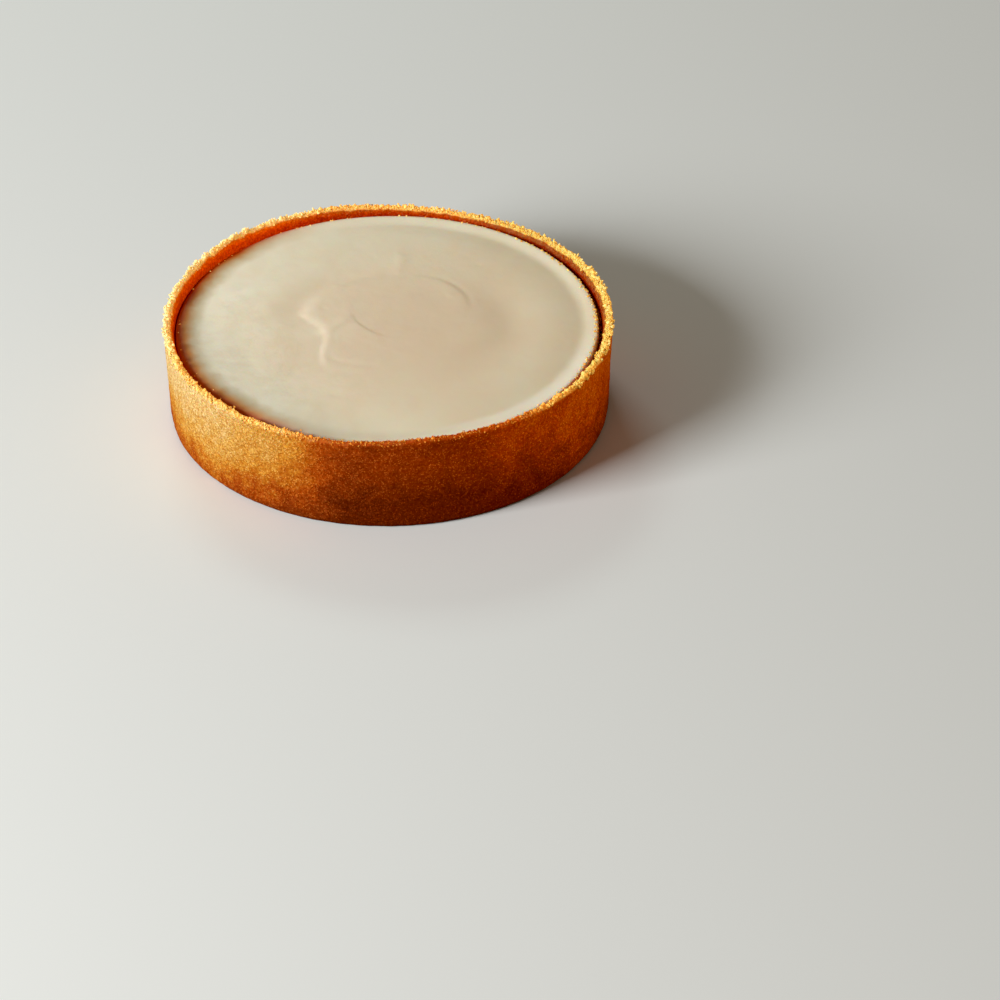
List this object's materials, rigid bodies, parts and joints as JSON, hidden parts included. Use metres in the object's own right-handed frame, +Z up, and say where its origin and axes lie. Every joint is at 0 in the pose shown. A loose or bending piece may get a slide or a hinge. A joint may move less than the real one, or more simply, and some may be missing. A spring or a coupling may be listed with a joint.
{
  "type": "cheesecake",
  "caption": "Whole round baked cheesecake: a pressed crumb crust cup with an uneven, crumbly rim, and a smooth cream filling with a faint spatula swirl.",
  "frame": {"origin": "centre of the underside, on the surface that the cake rests on", "axes": "+Z up through the cake's middle; +Y away from the viewer of the picture and +X to the viewer's right"},
  "size_m": [0.2289, 0.228, 0.0526],
  "materials": {
    "crumb": "matte golden-brown biscuit crumb, granular, with a broken lighter rim",
    "cream": "satin ivory cream, smooth, slightly translucent"
  },
  "bodies": {
    "root": {"crumb_crust": "crumb", "cream_filling": "cream"}
  },
  "joints": []
}
